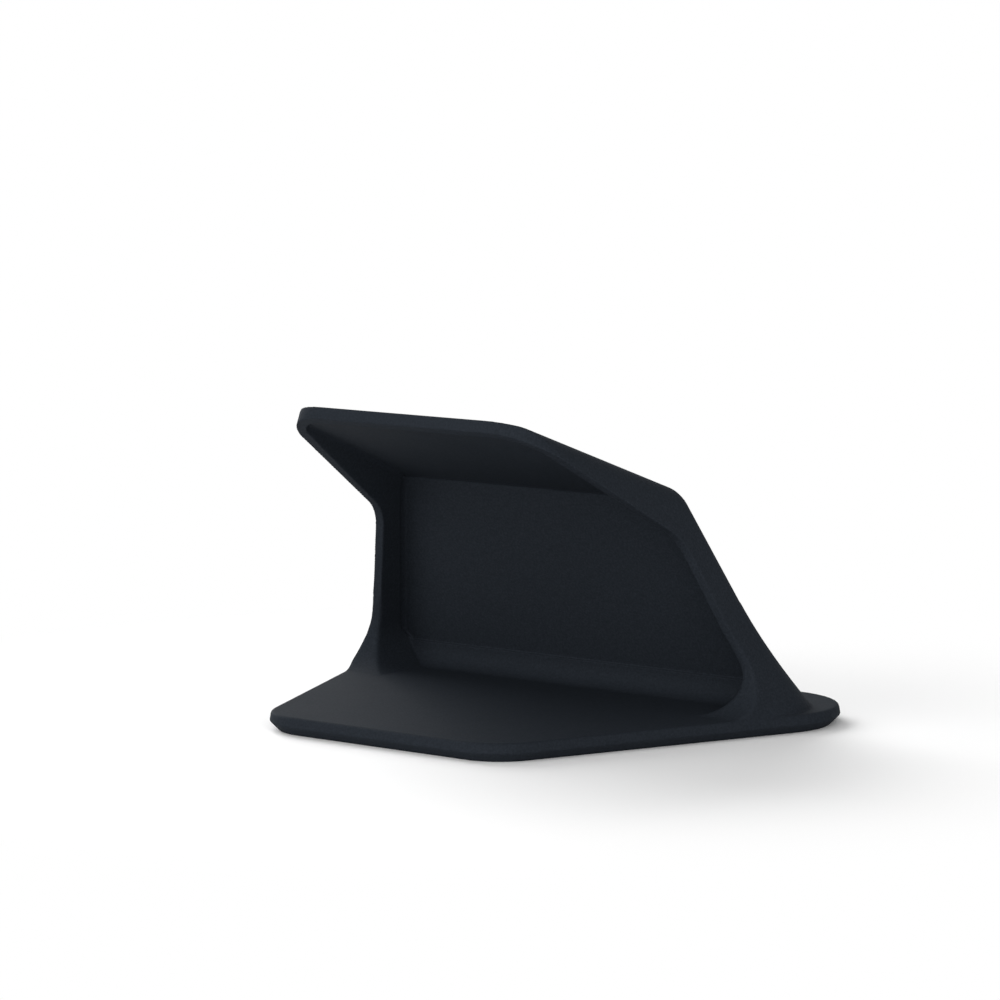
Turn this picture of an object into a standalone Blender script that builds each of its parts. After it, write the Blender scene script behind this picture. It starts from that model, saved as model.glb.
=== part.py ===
"""Desk stand: one moulded piece, a C seen from the side.

A flat base widens towards the front. A wall rises from it and leans back, and a
top plate runs back from the wall to carry the load. Side flanges stiffen the wall
and the plate, and shrink to nothing at the plate's rear edge. The hollow behind the
wall is open to the rear, and the wall has a shallow recessed panel in it.

Metres, +Z up, front towards -Y, open side towards +Y, origin under the middle of the
base. A depth is a distance forward from the base's rear edge.
"""
import math

import bmesh
import bpy
from mathutils import Vector

# Base plate, seen from above
BASE_DEPTH = 0.0860
BASE_REAR_WIDTH = 0.0572
SIDE_FLARE = math.radians(22.4)
REAR_CORNER_RADIUS = 0.0120
FRONT_CORNER_RADIUS = 0.0170

# Base plate, seen from the side
DECK_HEIGHT = 0.0037
CREASE_HEIGHT = 0.0018
UNDERCUT = 0.0018
BAND_DRAFT = 0.0003
DECK_EDGE_ROUND = 0.0006

# How far curves end inside the form they run into, so that the two meet cleanly
SHELL_SINK = 0.0001
FOOT_SINK = 0.00002
BLEND_SINK = 0.00005

# Wall and top plate, on the hollow's side
WALL_DEPTH = 0.0677
WALL_LEAN = math.radians(23.0)
BEND_HEIGHT = 0.0448
BEND_RADIUS = 0.0030
PLATE_REAR_DEPTH = 0.0082
PLATE_SLOPE = math.radians(20.4)
PLATE_CORNER_RADIUS = 0.0090
WALL_FOOT_RADIUS = 0.0034
WALL_THICKNESS = 0.0022
PLATE_THICKNESS = 0.0021

# Side flanges, and the throat that their rear edges form
FLANGE_HALF_SPREAD = 0.0498
FLANGE_LEAN = math.radians(19.3)
FLANGE_THICKNESS = 0.0014
FLANGE_END_DEPTH = 0.0003
THROAT_DEPTH = 0.0466
THROAT_HEIGHT = 0.0379
THROAT_LEAN = math.radians(20.3)
THROAT_RADIUS = 0.0035
THROAT_FOOT_RADIUS = 0.0075
OUTER_CORNER_RADIUS = 0.0015
INNER_CORNER_RADIUS = 0.0015
BLEND_RADIUS = 0.0070
FOOT_REACH = 0.0105
FOOT_HEIGHT = 0.0150

# Recessed panel in the wall
PANEL_RECESS = 0.0005
PANEL_MARGIN = 0.0003
PANEL_BOTTOM = 0.0084
PANEL_TOP = 0.0440
PANEL_CORNER_RADIUS = 0.0030

# How finely round stretches are drawn, and how far cutters reach past the part
ARC_STEPS = 6
SIDE_STEPS = 3
REACH = 0.0150
CORE_SHARE = 0.3

COLOUR = (0.028, 0.032, 0.039, 1.0)
ROUGHNESS = 0.55


def y_at(depth):
    """Y of a point this far in front of the base's rear edge."""
    return BASE_DEPTH / 2 - depth


def rounded(corners, closed=False):
    """Outline through 2-D corners (a, b, radius), each rounded by its radius."""
    count = len(corners)
    points = []
    for i, (a, b, radius) in enumerate(corners):
        here = Vector((a, b))
        if radius == 0 or (not closed and i in (0, count - 1)):
            points.append(here)
            continue
        before = (Vector(corners[i - 1][:2]) - here).normalized()
        after = (Vector(corners[(i + 1) % count][:2]) - here).normalized()
        half = before.angle(after) / 2
        centre = here + (before + after).normalized() * radius / math.sin(half)
        start = here + before * radius / math.tan(half) - centre
        end = here + after * radius / math.tan(half) - centre
        for k in range(ARC_STEPS + 1):
            points.append(centre + start.lerp(end, k / ARC_STEPS).normalized() * radius)
    return points


def loft(name, loops):
    """Closed object through closed loops of equally many 3-D points, capped at both ends."""
    bm = bmesh.new()
    rings = []
    for points in loops:
        verts = [bm.verts.new(point) for point in points]
        rings.append([bm.edges.new((verts[i - 1], verts[i])) for i in range(len(verts))])
    for lower, upper in zip(rings, rings[1:]):
        bmesh.ops.bridge_loops(bm, edges=lower + upper)
    bmesh.ops.contextual_create(bm, geom=rings[0])
    bmesh.ops.contextual_create(bm, geom=rings[-1])
    bmesh.ops.recalc_face_normals(bm, faces=bm.faces)
    mesh = bpy.data.meshes.new(name)
    bm.to_mesh(mesh)
    bm.free()
    piece = bpy.data.objects.new(name, mesh)
    bpy.context.collection.objects.link(piece)
    return piece


def cutter(name, loops):
    """A lofted form that only serves the booleans."""
    piece = loft(name, loops)
    piece.hide_render = True
    piece.display_type = "WIRE"
    return piece


def combine(piece, operation, other):
    """Boolean of one object with another."""
    step = piece.modifiers.new(other.name, "BOOLEAN")
    step.operation = operation
    step.solver = "EXACT"
    step.object = other


def side_edge(depth, inset):
    """Half width of the base's straight side at this depth, drawn in by the inset."""
    return BASE_REAR_WIDTH / 2 + math.tan(SIDE_FLARE) * depth - inset / math.cos(SIDE_FLARE)


def base_outline(inset=0.0):
    """Closed outline of the base from above, drawn in by the inset."""
    rear_half = side_edge(inset, inset)
    front_half = side_edge(BASE_DEPTH - inset, inset)
    rear = y_at(inset)
    front = y_at(BASE_DEPTH - inset)
    corners = [
        (rear_half, rear, REAR_CORNER_RADIUS - inset),
        (-rear_half, rear, REAR_CORNER_RADIUS - inset),
        (-front_half, front, FRONT_CORNER_RADIUS - inset),
        (front_half, front, FRONT_CORNER_RADIUS - inset),
    ]
    return rounded(corners, closed=True)


def wall_depth(z):
    """Depth of the wall's rear face at height z."""
    return WALL_DEPTH - math.tan(WALL_LEAN) * (z - DECK_HEIGHT)


def plate_height(depth):
    """Height of the top plate's underside at this depth."""
    return BEND_HEIGHT + math.tan(PLATE_SLOPE) * (wall_depth(BEND_HEIGHT) - depth)


def hub():
    """Depth and height of the line in the hollow that the section planes turn about."""
    depth = (PLATE_REAR_DEPTH + wall_depth(BEND_HEIGHT)) / 2
    height = (DECK_HEIGHT + BEND_HEIGHT) / 2
    return Vector((depth, height))


def corner_pull(depth, radius):
    """How far a plate corner of this radius draws the side in at this depth."""
    run = min(max(PLATE_REAR_DEPTH + PLATE_CORNER_RADIUS - depth, 0.0), radius)
    return radius - math.sqrt(radius ** 2 - run ** 2)


def inner_half(depth, z):
    """Half the width between the flanges' inner faces."""
    pull = corner_pull(depth, PLATE_CORNER_RADIUS - FLANGE_THICKNESS)
    return FLANGE_HALF_SPREAD - math.tan(FLANGE_LEAN) * z - pull


def outer_half(depth, z):
    """Half the width over the flanges' outer faces."""
    pull = corner_pull(depth, PLATE_CORNER_RADIUS)
    thick = FLANGE_THICKNESS / math.cos(FLANGE_LEAN)
    return FLANGE_HALF_SPREAD - math.tan(FLANGE_LEAN) * z + thick - pull


def section(point, half_width, radius):
    """Closed loop in the plane through the hub line and a point of a side outline."""
    arm = point - hub()
    corner_share = 1 - radius / arm.length
    run = []
    for k in range(SIDE_STEPS):
        run.append((CORE_SHARE + (corner_share - CORE_SHARE) * k / SIDE_STEPS, 0.0))
    for k in range(ARC_STEPS + 1):
        angle = math.pi / 2 * k / ARC_STEPS
        share = 1 - radius * (1 - math.sin(angle)) / arm.length
        run.append((share, radius * (1 - math.cos(angle))))
    loop = []
    for side, stretch in ((1, run), (-1, run[::-1])):
        for share, pull in stretch:
            depth, z = hub() + arm * share
            loop.append((side * (half_width(depth, z) - pull), y_at(depth), z))
    return loop


def throat_outline():
    """Side outline of the space behind the flanges' rear edges, above the deck."""
    floor = DECK_HEIGHT - 2 * SHELL_SINK
    foot_depth = THROAT_DEPTH + math.tan(THROAT_LEAN) * (THROAT_HEIGHT - floor)
    plate_end = plate_height(PLATE_REAR_DEPTH) - FLANGE_END_DEPTH
    return rounded([
        (-REACH, floor, 0),
        (foot_depth, floor, THROAT_FOOT_RADIUS),
        (THROAT_DEPTH, THROAT_HEIGHT, THROAT_RADIUS),
        (PLATE_REAR_DEPTH, plate_end, 0),
        (PLATE_REAR_DEPTH, plate_end + REACH, 0),
        (-REACH, plate_end + REACH, 0),
    ])


def with_corner_stations(side):
    """Side outline with extra points where the plate's rear corners are round."""
    start = side[0]
    step = (side[1] - start).normalized()
    ahead = PLATE_REAR_DEPTH - start.x
    stations = [start]
    for k in range(ARC_STEPS + 1):
        run = ahead + PLATE_CORNER_RADIUS * (1 - math.cos(math.pi / 2 * k / ARC_STEPS))
        stations.append(start + step * run / step.x)
    return stations + side[1:]


def make_base():
    """Base plate: undercut lower band, drafted upper band and a rounded deck edge."""
    levels = [(0.0, UNDERCUT), (CREASE_HEIGHT, 0.0), (DECK_HEIGHT - DECK_EDGE_ROUND, BAND_DRAFT)]
    for k in range(1, 3):
        angle = math.pi / 4 * k
        inset = BAND_DRAFT + DECK_EDGE_ROUND * (1 - math.cos(angle))
        levels.append((DECK_HEIGHT - DECK_EDGE_ROUND * (1 - math.sin(angle)), inset))
    return loft("stand_body", [[(x, y, z) for x, y in base_outline(inset)] for z, inset in levels])


def make_shell():
    """Wall, top plate and flanges, with the foot that sweeps out to the base's outline."""
    wall_shift = WALL_THICKNESS / math.cos(WALL_LEAN)
    plate_shift = PLATE_THICKNESS / math.cos(PLATE_SLOPE)
    slopes = math.tan(PLATE_SLOPE) * math.tan(WALL_LEAN)
    bend = BEND_HEIGHT + (plate_shift - math.tan(PLATE_SLOPE) * wall_shift) / (1 - slopes)
    rear = PLATE_REAR_DEPTH - PLATE_THICKNESS
    side = rounded([
        (rear, plate_height(rear) + plate_shift, 0),
        (wall_depth(bend) + wall_shift, bend, BEND_RADIUS + WALL_THICKNESS),
        (wall_depth(CREASE_HEIGHT) + wall_shift, CREASE_HEIGHT, 0),
        (hub().x, CREASE_HEIGHT, 0),
    ])
    loops = [section(point, outer_half, OUTER_CORNER_RADIUS) for point in with_corner_stations(side)]
    shell = cutter("shell", loops)
    combine(shell, "UNION", make_foot(wall_shift))
    outline = base_outline(BAND_DRAFT + DECK_EDGE_ROUND / 2)
    top = plate_height(PLATE_REAR_DEPTH) + REACH
    trim = cutter("base_trim", [[(x, y, z) for x, y in outline] for z in (0.0, top)])
    combine(shell, "INTERSECT", trim)
    combine(shell, "DIFFERENCE", make_hollow())
    combine(shell, "DIFFERENCE", make_throat())
    combine(shell, "DIFFERENCE", make_panel())
    return shell


def make_foot(wall_shift):
    """The swept foot of the wall and the flanges, as levels from its top out to the base's edge."""
    floor = DECK_HEIGHT - SHELL_SINK
    steps = 2 * ARC_STEPS
    loops = []
    for k in range(steps + 1):
        angle = math.pi / 2 * k / steps
        share = 1 - math.cos(angle)
        z = floor + FOOT_HEIGHT * (1 - math.sin(angle))
        front = wall_depth(z) + wall_shift + FOOT_REACH * share - FOOT_SINK
        radius = OUTER_CORNER_RADIUS + (FRONT_CORNER_RADIUS - OUTER_CORNER_RADIUS) * share
        halves = []
        for depth in (THROAT_DEPTH, front):
            half = outer_half(THROAT_DEPTH, z)
            edge = side_edge(depth, BAND_DRAFT + DECK_EDGE_ROUND)
            halves.append(half + (edge - half) * share - FOOT_SINK)
        outline = rounded([
            (halves[0], y_at(THROAT_DEPTH), 0),
            (halves[1], y_at(front), radius),
            (-halves[1], y_at(front), radius),
            (-halves[0], y_at(THROAT_DEPTH), 0),
        ])
        loops.append([(x, y, z) for x, y in outline])
    return cutter("foot", loops)


def make_hollow():
    """Space between the flanges, from the deck to the underside of the top plate."""
    rear = PLATE_REAR_DEPTH - PLATE_THICKNESS
    floor = DECK_HEIGHT - SHELL_SINK
    side = rounded([
        (rear, plate_height(rear), 0),
        (wall_depth(BEND_HEIGHT), BEND_HEIGHT, BEND_RADIUS),
        (WALL_DEPTH, floor, WALL_FOOT_RADIUS),
        (hub().x, floor, 0),
    ])
    loops = [section(point, inner_half, INNER_CORNER_RADIUS) for point in with_corner_stations(side)]
    hollow = cutter("hollow", loops)
    combine(hollow, "INTERSECT", make_blend())
    return hollow


def make_blend():
    """Block round the hollow, whose round lower edges blend the flanges into the deck."""
    floor = DECK_HEIGHT - SHELL_SINK - BLEND_SINK
    top = 2 * BEND_HEIGHT
    low_half = inner_half(THROAT_DEPTH, floor) + BLEND_SINK
    top_half = inner_half(THROAT_DEPTH, top) + BLEND_SINK
    outline = rounded([
        (low_half, floor, BLEND_RADIUS),
        (top_half, top, 0),
        (-top_half, top, 0),
        (-low_half, floor, BLEND_RADIUS),
    ], closed=True)
    return cutter("blend", [[(x, y_at(depth), z) for x, z in outline] for depth in (0.0, BASE_DEPTH)])


def make_throat():
    """Space to the rear of the flanges' edges, over the whole width."""
    half = BASE_DEPTH
    outline = throat_outline()
    return cutter("throat", [[(x, y_at(depth), z) for depth, z in outline] for x in (-half, half)])


def make_panel():
    """Shallow recess in the wall, round at its corners."""
    corners = []
    for side, z in ((1, PANEL_BOTTOM), (1, PANEL_TOP), (-1, PANEL_TOP), (-1, PANEL_BOTTOM)):
        corners.append((side * (inner_half(wall_depth(z), z) - PANEL_MARGIN), z, PANEL_CORNER_RADIUS))
    outline = rounded(corners, closed=True)
    loops = []
    for shift in (-WALL_THICKNESS, PANEL_RECESS / math.cos(WALL_LEAN)):
        loops.append([(x, y_at(wall_depth(z) + shift), z) for x, z in outline])
    return cutter("panel", loops)


def make_material():
    """Moulded plastic, charcoal with a little blue, matt."""
    material = bpy.data.materials.new("charcoal_plastic")
    material.use_nodes = True
    shader = material.node_tree.nodes["Principled BSDF"]
    shader.inputs["Base Color"].default_value = COLOUR
    shader.inputs["Roughness"].default_value = ROUGHNESS
    shader.inputs["Metallic"].default_value = 0.0
    return material


def main():
    for old in list(bpy.data.objects):
        bpy.data.objects.remove(old)
    body = make_base()
    body.data.materials.append(make_material())
    body.data.shade_smooth()
    combine(body, "UNION", make_shell())


if __name__ == "__main__":
    main()
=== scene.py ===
"""Desk stand for a game controller: the visible model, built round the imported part.

The stand is one piece of moulded ABS. Its forms are made with bmesh operators, joined
with booleans, and then finished by a fine remesh that softens every edge as a mould
does. The stage is a pale floor with soft studio light.
"""
import math

import bmesh
import bpy
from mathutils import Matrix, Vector


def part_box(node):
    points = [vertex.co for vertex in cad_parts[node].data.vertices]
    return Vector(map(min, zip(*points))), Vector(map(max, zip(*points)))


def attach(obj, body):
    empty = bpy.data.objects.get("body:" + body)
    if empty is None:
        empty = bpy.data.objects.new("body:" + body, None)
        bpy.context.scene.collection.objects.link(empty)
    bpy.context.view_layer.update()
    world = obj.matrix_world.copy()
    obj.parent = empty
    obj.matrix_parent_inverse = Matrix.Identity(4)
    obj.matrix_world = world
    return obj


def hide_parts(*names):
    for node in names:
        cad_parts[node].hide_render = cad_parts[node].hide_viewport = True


bl_info = {
    "name": "Moulded desk stand",
    "version": (1, 0, 0),
    "blender": (4, 5, 0),
    "location": "3D View > Sidebar > Desk stand",
    "description": "Builds a one-piece desk stand with its plastic finish and a studio stage",
    "category": "Object",
}

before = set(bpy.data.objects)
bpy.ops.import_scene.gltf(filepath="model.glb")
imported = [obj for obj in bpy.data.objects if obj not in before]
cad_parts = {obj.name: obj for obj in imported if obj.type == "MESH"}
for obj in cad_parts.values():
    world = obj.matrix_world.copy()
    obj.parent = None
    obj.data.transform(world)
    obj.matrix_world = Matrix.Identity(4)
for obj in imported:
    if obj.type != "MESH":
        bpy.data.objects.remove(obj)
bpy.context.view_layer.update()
LOW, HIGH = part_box("stand_body")
BODY = "root"
NODE = "stand_body"

# Two points or edges closer than this, in metres, are taken as one place.
SAME_PLACE = 1e-6
# Edges longer than this are a form's main edges, and shorter ones belong to its roundings.
MAIN_EDGE = 0.01
# Vertices closer than this are merged.
MERGE = 1e-7
# A face whose normal's X is under ACROSS runs straight across the stand, one whose normal's
# X is over SIDEWAYS is a side, and one whose normal's Z is over UPWARD faces up.
ACROSS = 0.01
SIDEWAYS = 0.7
UPWARD = 0.01
# Segments of an outline's rounded corner, and levels of the swept foot.
ARC_STEPS = 14
FOOT_STEPS = 18

# Height of the upright belt at the widest line of the base's edge.
BELT = 0.0001
# Small steps that keep the faces of two forms out of one plane.
FOOT_SINK = 0.0001
FOOT_INSET = 0.00002
HOLLOW_SINK = 0.00003
BLEND_SINK = 0.00002
BLEND_GAP = 0.00005
THROAT_SINK = 0.0002
CORNER_GAP = 0.00005
PANEL_GAP = 0.00003
# How far the shell's block reaches past the plate's rear edge, and the throat's form past
# the base's.
SHELL_SPARE = 0.0005
THROAT_SPARE = 0.015
# How far helper forms reach, in times the base's depth or the bend's height.
DEEP_REACH = 1.2
HIGH_REACH = 2
BLEND_REACH = 1.5

# Where the lamps stand and aim, and how wide they are, in metres.
KEY_AT = (0.9, -0.3, 0.55)
SIDE_AT = (-0.65, 0.6, 0.28)
REAR_AT = (0.3, 0.95, 0.3)
LAMP_AIM = (0, 0, 0.03)
LAMP_SIZE = 0.8
FLOOR_HALF = 4.0


def linear(code):
    """Linear colour of an sRGB hex code."""
    values = []
    for k in (0, 2, 4):
        level = int(code[k:k + 2], 16) / 255
        values.append(level / 12.92 if level <= 0.04045 else ((level + 0.055) / 1.055) ** 2.4)
    return (*values, 1.0)


def length(name, description, default):
    """A size property in metres."""
    return bpy.props.FloatProperty(
        name=name, description=description, default=default, unit="LENGTH", precision=5,
    )


def angle(name, description, degrees):
    """An angle property, given in degrees."""
    return bpy.props.FloatProperty(
        name=name, description=description, default=math.radians(degrees), unit="ROTATION",
    )


def colour(name, description, code):
    """A colour property, given as an sRGB hex code."""
    return bpy.props.FloatVectorProperty(
        name=name, description=description, default=linear(code),
        size=4, subtype="COLOR", min=0, max=1,
    )


class StandBaseSizes(bpy.types.PropertyGroup):
    """The flat base and its edge band."""
    depth: length("Depth", "Front to back size of the base", HIGH[1] - LOW[1])
    rear_width: length("Rear width", "Width of the base's rear edge before its corners are rounded", 0.0572)
    flare: angle("Flare", "How far each side turns outwards towards the front", 22.4)
    rear_round: length("Rear corners", "Radius of the rear corners from above", 0.012)
    front_round: length("Front corners", "Radius of the front corners from above", 0.017)
    deck: length("Deck height", "Height of the base's upper face", 0.0037)
    crease: length("Crease height", "Height of the widest line of the edge band", 0.0018)
    undercut: length("Undercut", "How far the lower band draws in at the floor", 0.0018)
    draft: length("Draft", "How far the upper band draws in at the deck", 0.0003)
    edge_round: length("Deck edge", "Radius along the deck's edge", 0.0006)


class StandShellSizes(bpy.types.PropertyGroup):
    """The wall, the top plate and the side flanges."""
    wall: length("Wall depth", "Depth of the wall's rear face at the deck, from the base's rear edge", 0.0677)
    wall_lean: angle("Wall lean", "How far the wall leans back", 23.0)
    wall_thick: length("Wall thickness", "Thickness of the wall", 0.0022)
    bend: length("Bend height", "Height of the bend on the hollow's side", 0.0448)
    bend_round: length("Bend", "Radius of the bend on the hollow's side", 0.003)
    plate_rear: length("Plate end", "Depth of the top plate's rear edge", 0.0082)
    plate_slope: angle("Plate slope", "How steeply the top plate rises to the rear", 20.4)
    plate_thick: length("Plate thickness", "Thickness of the top plate", 0.0022)
    plate_round: length("Plate corners", "Radius of the top plate's rear corners", 0.009)
    spread: length(
        "Half spread",
        "Half the width between the flanges' inner faces, taken down to the floor", 0.04917,
    )
    lean: angle("Flange lean", "How far the flanges lean inwards", 19.3)
    flange_thick: length("Flange thickness", "Thickness of the side flanges", 0.002)
    outer_round: length("Outer edges", "Radius along the outer long edges", 0.0034)
    inner_round: length("Inner corners", "Radius along the hollow's inner corners", 0.0015)
    foot_round: length("Wall foot", "Radius where the wall meets the deck in the hollow", 0.004)
    sweep: length("Foot sweep", "How far the swept foot runs out in front of the wall", 0.0105)
    sweep_high: length("Foot height", "Height over which the foot sweeps out to the base's edge", 0.021)
    throat: length("Throat depth", "Depth of the throat's corner between plate and wall", 0.0466)
    throat_height: length("Throat height", "Height of the throat's corner", 0.0379)
    throat_lean: angle("Throat lean", "How far the flanges' rear edges lean back", 20.3)
    throat_round: length("Throat corner", "Radius of the throat's corner", 0.011)
    throat_foot: length("Throat foot", "Radius where the flanges' rear edges run out on the deck", 0.0083)
    deck_round: length("Flange foot", "Radius between the flanges' inner faces and the deck", 0.007)
    swell: length("Swell", "How much thicker the flanges are at the plate than at the throat", 0.0009)
    soft_spot: length("Soft spot", "Size of the spot where a flange's rear edge melts into the deck", 0.009)


class StandPanelSizes(bpy.types.PropertyGroup):
    """The shallow panel in the wall."""
    recess: length("Recess", "How deep the panel lies in the wall", 0.0008)
    bite: length("Bite", "How far the panel's sides reach into the flanges' inner faces", 0.0004)
    reach: length("Reach", "How far the panel's edge reaches out into the hollow's corners", 0.0012)
    bottom: length("Bottom", "Height of the panel's lower edge", 0.0091)
    round: length("Corners", "Radius of the panel's lower corners", 0.0024)


class StandFinish(bpy.types.PropertyGroup):
    """Surface of the plastic, and how finely the body is meshed."""
    plastic: colour("Plastic", "Charcoal of the moulded plastic", "1E2227")
    # The light grain colour is a painted highlight, mixed onto the grain's high points.
    plastic_grain_highlight: colour("Plastic, light grain", "Lighter tone of the texture's high points", "262A30")
    grain: length("Grain", "Size of the mould texture's grain", 0.0004)
    voxel: length("Voxel", "Cell size of the remesh that softens the edges", 0.00018)
    passes: bpy.props.IntProperty(
        name="Passes", description="Number of smoothing passes over the remesh", default=4, min=0,
    )
    foot_passes: bpy.props.IntProperty(
        name="Foot passes", description="Number of smoothing passes at the flanges' feet",
        default=110, min=0,
    )
    keep: bpy.props.FloatProperty(
        name="Keep", description="Share of the remeshed faces that is kept",
        default=0.08, min=0.01, max=1.0,
    )


class StandStage(bpy.types.PropertyGroup):
    """Floor, light and camera."""
    floor: colour("Floor", "Pale studio floor", "FAFAFA")
    near: length("Near", "Distance from the stand up to which the floor shows its own shading", 0.08)
    far: length("Far", "Distance beyond which the floor shows plain white", 0.15)
    key_power: bpy.props.FloatProperty(
        name="Key light", description="Power of the lamp beyond the flange in watts",
        default=12.5,
    )
    side_power: bpy.props.FloatProperty(
        name="Side light", description="Power of the lamp on the camera's side in watts",
        default=6.0,
    )
    rear_power: bpy.props.FloatProperty(
        name="Rear light", description="Power of the lamp behind the hollow in watts",
        default=6.0,
    )
    world: bpy.props.FloatProperty(
        name="World", description="Strength of the even light from all round",
        default=0.33,
    )
    lens: bpy.props.FloatProperty(
        name="Lens", description="Focal length of the camera in millimetres",
        default=158.94,
    )
    camera_at: bpy.props.FloatVectorProperty(
        name="Camera", description="Place of the camera",
        default=(-0.52258, 0.67313, 0.14912), unit="LENGTH",
    )
    look: bpy.props.FloatVectorProperty(
        name="View direction", description="Direction in which the camera looks",
        default=(0.6112, -0.7819, -0.1236),
    )


def outline_face(bm, corners):
    """A flat face through corners (point, radius), each rounded by spinning a vertex along its arc."""
    count = len(corners)
    ends = []
    for k, (point, radius) in enumerate(corners):
        here = Vector(point)
        before = (Vector(corners[k - 1][0]) - here).normalized()
        after = (Vector(corners[(k + 1) % count][0]) - here).normalized()
        half = before.angle(after) / 2
        first = bm.verts.new(here + before * radius / math.tan(half))
        if radius <= 0:
            ends.append((first, first))
            continue
        centre = here + (before + after).normalized() * radius / math.sin(half)
        turn = (first.co - centre).cross(here - centre)
        sweep = math.pi - 2 * half
        made = bmesh.ops.spin(bm, geom=[first], cent=centre, axis=turn, angle=sweep, steps=ARC_STEPS)
        ends.append((first, made["geom_last"][0]))
    for k in range(count):
        bm.edges.new((ends[k - 1][1], ends[k][0]))
    loop = [edge for edge in bm.edges if not edge.link_faces]
    return bmesh.ops.contextual_create(bm, geom=loop)["faces"]


def draw_out(bm, faces, move):
    """Extrudes faces into a closed form and returns the new far vertices."""
    made = bmesh.ops.extrude_face_region(bm, geom=faces, use_keep_orig=True)
    far = [item for item in made["geom"] if isinstance(item, bmesh.types.BMVert)]
    bmesh.ops.translate(bm, verts=far, vec=move)
    return far


def round_edges(bm, edges, radius, segments=8):
    """Bevels edges so that a right-angled one gets this radius, and others nearly."""
    bmesh.ops.bevel(
        bm, geom=edges, offset=radius, segments=segments, profile=0.5, affect="EDGES", material=-1,
    )


def mirrored_block(forms, side, half):
    """Block between two mirrored side outlines (depth, height), half(height) from the middle."""
    bm = bmesh.new()
    faces = outline_face(bm, [((half(z), forms.y(depth), z), 0) for depth, z in side])
    for vert in draw_out(bm, faces, (0, 0, 0)):
        vert.co.x = -vert.co.x
    bmesh.ops.recalc_face_normals(bm, faces=bm.faces)
    return bm


def upright_edges(bm, y):
    """Edges that rise along the face at this Y."""
    found = []
    for edge in bm.edges:
        one, two = (vert.co for vert in edge.verts)
        if max(abs(one.y - y), abs(two.y - y)) < SAME_PLACE and abs(one.z - two.z) > MAIN_EDGE:
            found.append(edge)
    return found


def cross_edges(bm, z):
    """Edges at this height that cross from side to side."""
    found = []
    for edge in bm.edges:
        one, two = (vert.co for vert in edge.verts)
        if max(abs(one.z - z), abs(two.z - z)) < SAME_PLACE and abs(one.x - two.x) > MAIN_EDGE:
            found.append(edge)
    return found


def long_edges(bm):
    """Edges where the upper and front faces meet the sides."""
    bm.normal_update()
    found = []
    for edge in bm.edges:
        flat, side = sorted(edge.link_faces, key=lambda face: abs(face.normal.x))
        rising = flat.normal.z > UPWARD
        if abs(flat.normal.x) < ACROSS and rising and abs(side.normal.x) > SIDEWAYS:
            found.append(edge)
    return found


def as_object(name, bm):
    """The finished form as an object, with its faces pointing outwards."""
    bmesh.ops.remove_doubles(bm, verts=bm.verts, dist=MERGE)
    bmesh.ops.recalc_face_normals(bm, faces=bm.faces)
    mesh = bpy.data.meshes.new(name)
    bm.to_mesh(mesh)
    bm.free()
    form = bpy.data.objects.new(name, mesh)
    bpy.context.collection.objects.link(form)
    return form


def combine(form, operation, other):
    """Boolean of one form with another."""
    step = form.modifiers.new(other.name, "BOOLEAN")
    step.operation = operation
    step.solver = "EXACT"
    step.object = other


def settle(form):
    """Applies a form's modifiers to its mesh."""
    bpy.context.view_layer.update()
    depsgraph = bpy.context.evaluated_depsgraph_get()
    mesh = bpy.data.meshes.new_from_object(form.evaluated_get(depsgraph))
    if not mesh.polygons:
        raise RuntimeError(form.name + " has no faces left after its modifiers")
    form.modifiers.clear()
    form.data = mesh


def soften(form, passes, spot=""):
    """Adds smoothing passes over a form, or over one group of its vertices."""
    smooth = form.modifiers.new("smooth", "SMOOTH")
    smooth.factor = 0.5
    smooth.iterations = passes
    smooth.vertex_group = spot


def mark_feet(form, forms):
    """Groups the vertices near the flanges' feet, most strongly in the middle of each, and
    returns the group's name."""
    shell = forms.shell
    foot = forms.y((shell.throat + forms.wall_at(forms.base.deck)) / 2 - shell.deck_round / 2)
    height = forms.base.deck + shell.deck_round
    centre = Vector((forms.inner(height), foot, height))
    group = form.vertex_groups.new(name="feet")
    for vert in form.data.vertices:
        away = (Vector((abs(vert.co.x), vert.co.y, vert.co.z)) - centre).length
        if away < shell.soft_spot:
            group.add([vert.index], 1 - (away / shell.soft_spot) ** 2, "REPLACE")
    return group.name


class StandForms:
    """Outlines and heights that several forms share."""

    def __init__(self, settings):
        self.base = settings.stand_base
        self.shell = settings.stand_shell
        self.panel = settings.stand_panel
        self.rear = HIGH[1]

    def y(self, depth):
        """Y of a point this far in front of the base's rear edge."""
        return self.rear - depth

    def wall_at(self, z):
        """Depth of the wall's rear face at a height."""
        return self.shell.wall - math.tan(self.shell.wall_lean) * (z - self.base.deck)

    def plate_at(self, depth):
        """Height of the top plate's underside at a depth."""
        return self.shell.bend + math.tan(self.shell.plate_slope) * (self.wall_at(self.shell.bend) - depth)

    def inner(self, z):
        """Half the width between the flanges' inner faces."""
        return self.shell.spread - math.tan(self.shell.lean) * z

    def outer(self, z):
        """Half the width over the flanges' outer faces."""
        return self.inner(z) + self.shell.flange_thick / math.cos(self.shell.lean)

    def edge(self, depth, inset):
        """Half width of the base's straight side at a depth, drawn in by the inset."""
        flare = self.base.flare
        return self.base.rear_width / 2 + math.tan(flare) * depth - inset / math.cos(flare)

    def outline(self, z, inset=0.0):
        """Corners of the base from above, with their radii."""
        base = self.base
        rear, front = self.edge(inset, inset), self.edge(base.depth - inset, inset)
        near, far = self.y(inset), self.y(base.depth - inset)
        return [
            ((rear, near, z), base.rear_round - inset),
            ((-rear, near, z), base.rear_round - inset),
            ((-front, far, z), base.front_round - inset),
            ((front, far, z), base.front_round - inset),
        ]


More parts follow.
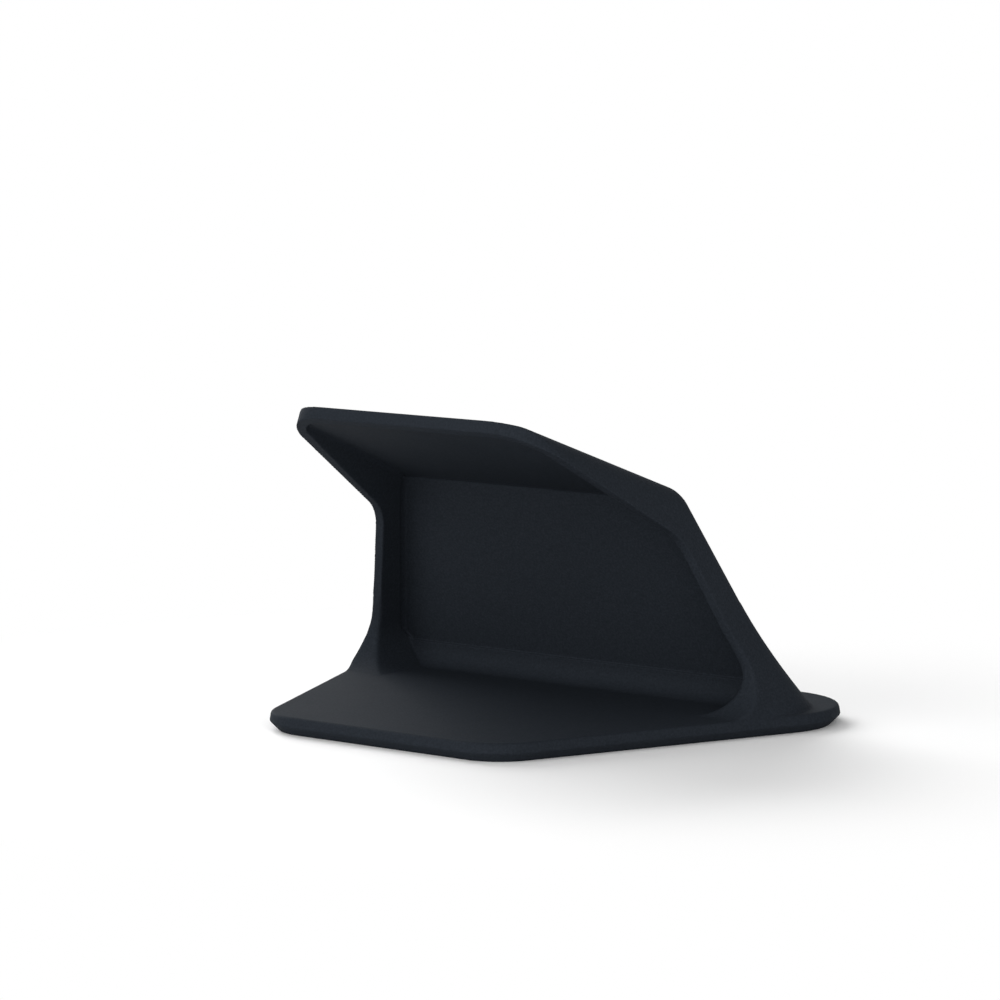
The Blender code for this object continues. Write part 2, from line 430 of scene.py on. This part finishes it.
def plate_form(forms):
    """Base plate with its undercut and drafted edge bands."""
    base = forms.base
    bm = bmesh.new()
    draw_out(bm, outline_face(bm, forms.outline(base.crease)), (0, 0, BELT))
    bmesh.ops.recalc_face_normals(bm, faces=bm.faces)
    upper = max(bm.faces, key=lambda face: face.normal.z)
    lower = min(bm.faces, key=lambda face: face.normal.z)
    for face, inward, away in (
        (upper, base.draft, base.deck - base.crease - BELT),
        (lower, base.undercut, base.crease),
    ):
        bmesh.ops.inset_region(bm, faces=[face], thickness=inward, depth=away, use_even_offset=True)
    deck = max(bm.faces, key=lambda face: face.calc_center_median().z)
    round_edges(bm, list(deck.edges), base.edge_round, segments=5)
    return as_object("base_plate", bm)


def shell_form(forms):
    """Full block of the wall and the plate, with round long edges and rear corners."""
    base, shell = forms.base, forms.shell
    wall_shift = shell.wall_thick / math.cos(shell.wall_lean)
    plate_shift = shell.plate_thick / math.cos(shell.plate_slope)
    slopes = math.tan(shell.plate_slope) * math.tan(shell.wall_lean)
    bend = shell.bend + (plate_shift - math.tan(shell.plate_slope) * wall_shift) / (1 - slopes)
    rear, low = shell.plate_rear - SHELL_SPARE, base.crease
    side = [
        (rear, low),
        (forms.wall_at(low) + wall_shift, low),
        (forms.wall_at(bend) + wall_shift, bend),
        (rear, forms.plate_at(rear) + plate_shift),
    ]
    bm = mirrored_block(forms, side, forms.outer)
    turn = math.tan((math.pi / 2 - shell.wall_lean - shell.plate_slope) / 2)
    round_edges(bm, cross_edges(bm, bend), (shell.bend_round + shell.wall_thick) * turn, segments=10)
    round_edges(bm, long_edges(bm), shell.outer_round, segments=6)
    block = as_object("shell", bm)
    corners = corner_form(forms)
    combine(block, "INTERSECT", corners)
    settle(block)
    bpy.data.objects.remove(corners)
    return block


def corner_form(forms):
    """Block just wider than the shell, whose round rear corners shape those of the plate."""
    base, shell = forms.base, forms.shell
    front, top = base.depth * DEEP_REACH, shell.bend * HIGH_REACH
    side = [(shell.plate_rear, 0), (front, 0), (front, top), (shell.plate_rear, top)]
    bm = mirrored_block(forms, side, lambda z: forms.outer(z) + CORNER_GAP)
    round_edges(bm, upright_edges(bm, forms.y(shell.plate_rear)), shell.plate_round, segments=16)
    return as_object("corners", bm)


def foot_form(forms):
    """Swept foot of the wall and the flanges, lofted level by level out to the base's edge."""
    base, shell = forms.base, forms.shell
    floor = base.deck - FOOT_SINK
    wall_shift = shell.wall_thick / math.cos(shell.wall_lean)
    edge_inset = base.draft + base.edge_round / 2
    bm = bmesh.new()
    rings = []
    for k in range(FOOT_STEPS + 1):
        turn = math.pi / 2 * k / FOOT_STEPS
        share = 1 - math.cos(turn)
        z = floor + shell.sweep_high * (1 - math.sin(turn))
        front = forms.wall_at(z) + wall_shift + shell.sweep * share - FOOT_INSET
        front_round = shell.outer_round + (base.front_round - shell.outer_round) * share
        corners = []
        for depth, radius in ((shell.throat, 0), (front, front_round)):
            half = forms.outer(z) + (forms.edge(depth, edge_inset) - forms.outer(z)) * share - FOOT_INSET
            corners.append(((half, forms.y(depth), z), radius))
        before = set(bm.edges)
        outline_face(bm, corners + [((-x, y, z), radius) for (x, y, z), radius in reversed(corners)])
        rings.append([edge for edge in bm.edges if edge not in before])
    inner_faces = sorted(bm.faces, key=lambda face: face.calc_center_median().z)[1:-1]
    bmesh.ops.delete(bm, geom=inner_faces, context="FACES_ONLY")
    for upper, lower in zip(rings, rings[1:]):
        bmesh.ops.bridge_loops(bm, edges=upper + lower)
    return as_object("foot", bm)


def hollow_form(forms):
    """Space between the flanges, from the deck to the underside of the plate."""
    base, shell = forms.base, forms.shell
    floor = base.deck - HOLLOW_SINK
    rear = shell.plate_rear + shell.flange_thick
    side = [
        (rear, floor),
        (forms.wall_at(floor), floor),
        (forms.wall_at(shell.bend), shell.bend),
        (rear, forms.plate_at(rear)),
    ]
    bm = mirrored_block(forms, side, forms.inner)
    round_edges(bm, upright_edges(bm, forms.y(rear)), shell.plate_round - shell.flange_thick, segments=16)
    turn = math.tan((math.pi / 2 - shell.wall_lean - shell.plate_slope) / 2)
    round_edges(bm, cross_edges(bm, shell.bend), shell.bend_round * turn, segments=8)
    wall_y = forms.y(forms.wall_at(floor))
    foot_edges = []
    for edge in cross_edges(bm, floor):
        if all(abs(vert.co.y - wall_y) < SAME_PLACE for vert in edge.verts):
            foot_edges.append(edge)
    turn = math.tan((math.pi / 2 + shell.wall_lean) / 2)
    round_edges(bm, foot_edges, shell.foot_round * turn, segments=10)
    bm.normal_update()
    inner_edges = []
    for edge in bm.edges:
        flat, side = sorted(abs(face.normal.x) for face in edge.link_faces)
        if flat < ACROSS and side > SIDEWAYS:
            inner_edges.append(edge)
    round_edges(bm, inner_edges, shell.inner_round, segments=6)
    hollow = as_object("hollow", bm)
    blend = blend_form(forms, floor - BLEND_SINK)
    combine(hollow, "INTERSECT", blend)
    settle(hollow)
    bpy.data.objects.remove(blend)
    return hollow


def blend_form(forms, floor):
    """Block round the hollow: its round lower edges blend the flanges into the deck, and
    above the throat it draws in, so that the flanges grow thicker up to the plate."""
    base, shell = forms.base, forms.shell
    knee, top = shell.throat_height, shell.bend * BLEND_REACH
    plate = forms.plate_at(shell.plate_rear)
    bm = bmesh.new()
    corners = []
    for z, radius in ((floor, shell.deck_round), (knee, shell.bend), (top, 0)):
        half = forms.inner(z) + BLEND_GAP - shell.swell * max(z - knee, 0) / (plate - knee)
        corners.append(((half, forms.y(base.depth), z), radius))
    corners += [((-x, y, z), radius) for (x, y, z), radius in reversed(corners)]
    draw_out(bm, outline_face(bm, corners), (0, base.depth, 0))
    return as_object("blend", bm)


def throat_form(forms):
    """Space behind the flanges' rear edges, over the whole width."""
    base, shell = forms.base, forms.shell
    floor = base.deck - THROAT_SINK
    foot = shell.throat + math.tan(shell.throat_lean) * (shell.throat_height - floor)
    end = forms.plate_at(shell.plate_rear)
    slope = (end - shell.throat_height) / (shell.throat - shell.plate_rear)
    behind = -THROAT_SPARE
    side = [
        (behind, floor, 0),
        (foot, floor, shell.throat_foot),
        (shell.throat, shell.throat_height, shell.throat_round),
        (behind, shell.throat_height + slope * (shell.throat - behind), 0),
    ]
    bm = bmesh.new()
    faces = outline_face(bm, [((-base.depth, forms.y(depth), z), radius) for depth, z, radius in side])
    draw_out(bm, faces, (2 * base.depth, 0, 0))
    return as_object("throat", bm)


def panel_form(forms):
    """Shallow recess in the wall, up to the underside of the plate, whose slope it follows."""
    shell, panel = forms.shell, forms.panel
    slope = math.tan(shell.plate_slope)
    top = shell.bend + slope * panel.reach / (1 - slope * math.tan(shell.wall_lean)) - PANEL_GAP
    corners = []
    for z, radius in ((panel.bottom, panel.round), (top, 0)):
        corners.append(((forms.inner(z) + panel.bite, forms.y(forms.wall_at(z) - panel.reach), z), radius))
    corners += [((-x, y, z), radius) for (x, y, z), radius in reversed(corners)]
    bm = bmesh.new()
    deep = panel.reach + panel.recess / math.cos(shell.wall_lean)
    draw_out(bm, outline_face(bm, corners), (0, -deep, -deep * slope))
    return as_object("panel", bm)


def trim_form(forms):
    """Upright prism on the base's outline, which keeps the foot inside the deck's edge."""
    base, shell = forms.base, forms.shell
    bm = bmesh.new()
    inset = base.draft + base.edge_round / 2
    draw_out(bm, outline_face(bm, forms.outline(base.crease / 2, inset)), (0, 0, HIGH_REACH * shell.bend))
    return as_object("trim", bm)


def add_node(tree, kind, settings=None, links=None):
    """Adds a node with its settings, fed by the sockets given for its inputs."""
    node = tree.nodes.new(kind)
    for name, value in (settings or {}).items():
        if hasattr(node, name):
            setattr(node, name, value)
        else:
            node.inputs[name].default_value = value
    for name, socket in (links or {}).items():
        tree.links.new(socket, node.inputs[name])
    return node


def moulded_abs(finish):
    """ABS from a spark-eroded mould: charcoal, with a fine even grain and a soft sheen.

    The grain is under half a millimetre, so it reads as a faint sparkle and breaks the
    highlights up. Its high points are painted a little lighter, a painted highlight on the real grain.
    """
    material = bpy.data.materials.new("moulded_abs_charcoal")
    material.use_nodes = True
    tree = material.node_tree
    shader = tree.nodes["Principled BSDF"]
    place = add_node(tree, "ShaderNodeTexCoord").outputs["Object"]
    at_place = {"Vector": place}
    fine = {"Scale": 1 / finish.grain, "Detail": 2.0, "Roughness": 0.6}
    grain = add_node(tree, "ShaderNodeTexNoise", fine, at_place)
    coarse = {"Scale": 60.0, "Detail": 3.0, "Roughness": 0.5}
    cloud = add_node(tree, "ShaderNodeTexNoise", coarse, at_place)
    # Painted highlight: the grain's high points get the lighter colour.
    high = {"From Min": 0.35, "From Max": 0.75}
    grain_highlight_mask = add_node(tree, "ShaderNodeMapRange", high, {"Value": grain.outputs["Fac"]})
    mix = add_node(tree, "ShaderNodeMix", {"data_type": "RGBA"}, {"Factor": grain_highlight_mask.outputs["Result"]})
    tones = [socket for socket in mix.inputs if socket.type == "RGBA"]
    tones[0].default_value = finish.plastic
    tones[1].default_value = finish.plastic_grain_highlight
    mixed = [socket for socket in mix.outputs if socket.type == "RGBA"][0]
    tree.links.new(mixed, shader.inputs["Base Color"])
    dull = {"To Min": 0.68, "To Max": 0.76}
    rough = add_node(tree, "ShaderNodeMapRange", dull, {"Value": cloud.outputs["Fac"]})
    tree.links.new(rough.outputs["Result"], shader.inputs["Roughness"])
    relief = {"Strength": 0.25, "Distance": 0.00004}
    bump = add_node(tree, "ShaderNodeBump", relief, {"Height": grain.outputs["Fac"]})
    tree.links.new(bump.outputs["Normal"], shader.inputs["Normal"])
    shader.inputs["IOR"].default_value = 1.5
    shader.inputs["Specular IOR Level"].default_value = 0.02
    return material


def backdrop_rays(tree):
    """1 for rays that show the background itself, in the picture or in a reflection."""
    rays = add_node(tree, "ShaderNodeLightPath").outputs
    seen = add_node(tree, "ShaderNodeMath", {"operation": "MAXIMUM"})
    tree.links.new(rays["Is Camera Ray"], seen.inputs[0])
    tree.links.new(rays["Is Glossy Ray"], seen.inputs[1])
    return seen.outputs["Value"]


def studio_floor(stage):
    """Pale floor that keeps the stand's shadow near it and runs out into plain white."""
    material = bpy.data.materials.new("pale_studio_floor")
    material.use_nodes = True
    tree = material.node_tree
    shader = tree.nodes["Principled BSDF"]
    shader.inputs["Base Color"].default_value = stage.floor
    shader.inputs["Roughness"].default_value = 0.8
    shader.inputs["Specular IOR Level"].default_value = 0.2
    place = add_node(tree, "ShaderNodeTexCoord").outputs["Object"]
    apart = add_node(tree, "ShaderNodeVectorMath", {"operation": "LENGTH"})
    tree.links.new(place, apart.inputs[0])
    reach = {"interpolation_type": "SMOOTHSTEP", "From Min": stage.near, "From Max": stage.far}
    fade = add_node(tree, "ShaderNodeMapRange", reach, {"Value": apart.outputs["Value"]})
    white = add_node(tree, "ShaderNodeEmission", {"Strength": 1.0})
    share = add_node(tree, "ShaderNodeMath", {"operation": "MULTIPLY"})
    tree.links.new(fade.outputs["Result"], share.inputs[0])
    tree.links.new(backdrop_rays(tree), share.inputs[1])
    mix = add_node(tree, "ShaderNodeMixShader")
    tree.links.new(share.outputs["Value"], mix.inputs["Fac"])
    tree.links.new(shader.outputs["BSDF"], mix.inputs[1])
    tree.links.new(white.outputs["Emission"], mix.inputs[2])
    tree.links.new(mix.outputs["Shader"], tree.nodes["Material Output"].inputs["Surface"])
    return material


class STAND_OT_body(bpy.types.Operator):
    """Builds the moulded body of the stand"""
    bl_idname = "stand.body"
    bl_label = "Moulded body"

    def execute(self, context):
        scene = context.scene
        forms = StandForms(scene)
        finish = scene.stand_finish
        body = plate_form(forms)
        shell = shell_form(forms)
        helpers = [shell]
        for operation, make in (
            ("UNION", foot_form),
            ("INTERSECT", trim_form),
            ("DIFFERENCE", hollow_form),
            ("DIFFERENCE", throat_form),
            ("DIFFERENCE", panel_form),
        ):
            helpers.append(make(forms))
            combine(shell, operation, helpers[-1])
        combine(body, "UNION", shell)
        soft = body.modifiers.new("soft", "REMESH")
        soft.mode = "VOXEL"
        soft.voxel_size = finish.voxel
        soften(body, finish.passes)
        settle(body)
        soften(body, finish.foot_passes, mark_feet(body, forms))
        fewer = body.modifiers.new("fewer", "DECIMATE")
        fewer.ratio = finish.keep
        settle(body)
        for helper in helpers:
            bpy.data.objects.remove(helper)
        body.name = "moulded_body"
        body.data.name = "moulded_body"
        body.data.shade_smooth()
        body.data.materials.clear()
        body.data.materials.append(moulded_abs(finish))
        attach(body, BODY)
        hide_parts(NODE)
        return {"FINISHED"}


class STAND_OT_stage(bpy.types.Operator):
    """Builds the floor, the lamps, the world and the camera"""
    bl_idname = "stand.stage"
    bl_label = "Stage"

    def execute(self, context):
        scene = context.scene
        stage = scene.stand_stage
        bm = bmesh.new()
        bmesh.ops.create_grid(bm, x_segments=1, y_segments=1, size=FLOOR_HALF)
        floor = as_object("floor", bm)
        floor.data.materials.append(studio_floor(stage))
        world = bpy.data.worlds.new("studio")
        world.use_nodes = True
        scene.world = world
        tree = world.node_tree
        back = tree.nodes["Background"]
        back.inputs["Color"].default_value = (1, 1, 1, 1)
        levels = {"To Min": stage.world, "To Max": 1.0}
        level = add_node(tree, "ShaderNodeMapRange", levels, {"Value": backdrop_rays(tree)})
        tree.links.new(level.outputs["Result"], back.inputs["Strength"])
        for name, power, spot in (
            ("key_lamp", stage.key_power, KEY_AT),
            ("side_lamp", stage.side_power, SIDE_AT),
            ("rear_lamp", stage.rear_power, REAR_AT),
        ):
            lamp = bpy.data.lights.new(name, "AREA")
            lamp.energy = power
            lamp.size = LAMP_SIZE
            holder = bpy.data.objects.new(name, lamp)
            holder.location = spot
            aim = Vector(LAMP_AIM) - Vector(spot)
            holder.rotation_euler = aim.to_track_quat("-Z", "Y").to_euler()
            scene.collection.objects.link(holder)
        camera = bpy.data.cameras.new("camera")
        camera.lens = stage.lens
        camera.sensor_width = 36.0
        eye = bpy.data.objects.new("camera", camera)
        eye.location = stage.camera_at
        eye.rotation_euler = Vector(stage.look).to_track_quat("-Z", "Y").to_euler()
        scene.collection.objects.link(eye)
        scene.camera = eye
        scene.view_settings.view_transform = "Standard"
        return {"FINISHED"}


class STAND_PT_panel(bpy.types.Panel):
    """Sizes, finish and build buttons of the stand"""
    bl_label = "Desk stand"
    bl_idname = "STAND_PT_panel"
    bl_space_type = "VIEW_3D"
    bl_region_type = "UI"
    bl_category = "Desk stand"

    def draw(self, context):
        scene = context.scene
        for name, _ in GROUPS:
            group = getattr(scene, name)
            box = self.layout.box()
            box.label(text=name.replace("stand_", "").capitalize())
            for item in group.bl_rna.properties.keys():
                if item not in ("rna_type", "name"):
                    box.prop(group, item)
        for button in (STAND_OT_body, STAND_OT_stage):
            self.layout.operator(button.bl_idname)


GROUPS = (
    ("stand_base", StandBaseSizes),
    ("stand_shell", StandShellSizes),
    ("stand_panel", StandPanelSizes),
    ("stand_finish", StandFinish),
    ("stand_stage", StandStage),
)
CLASSES = (STAND_OT_body, STAND_OT_stage, STAND_PT_panel)


def register():
    for name, group in GROUPS:
        bpy.utils.register_class(group)
        setattr(bpy.types.Scene, name, bpy.props.PointerProperty(type=group))
    for item in CLASSES:
        bpy.utils.register_class(item)


def unregister():
    for item in reversed(CLASSES):
        bpy.utils.unregister_class(item)
    for name, group in reversed(GROUPS):
        delattr(bpy.types.Scene, name)
        bpy.utils.unregister_class(group)


def main():
    register()
    bpy.ops.stand.body()
    bpy.ops.stand.stage()


if __name__ == "__main__":
    main()
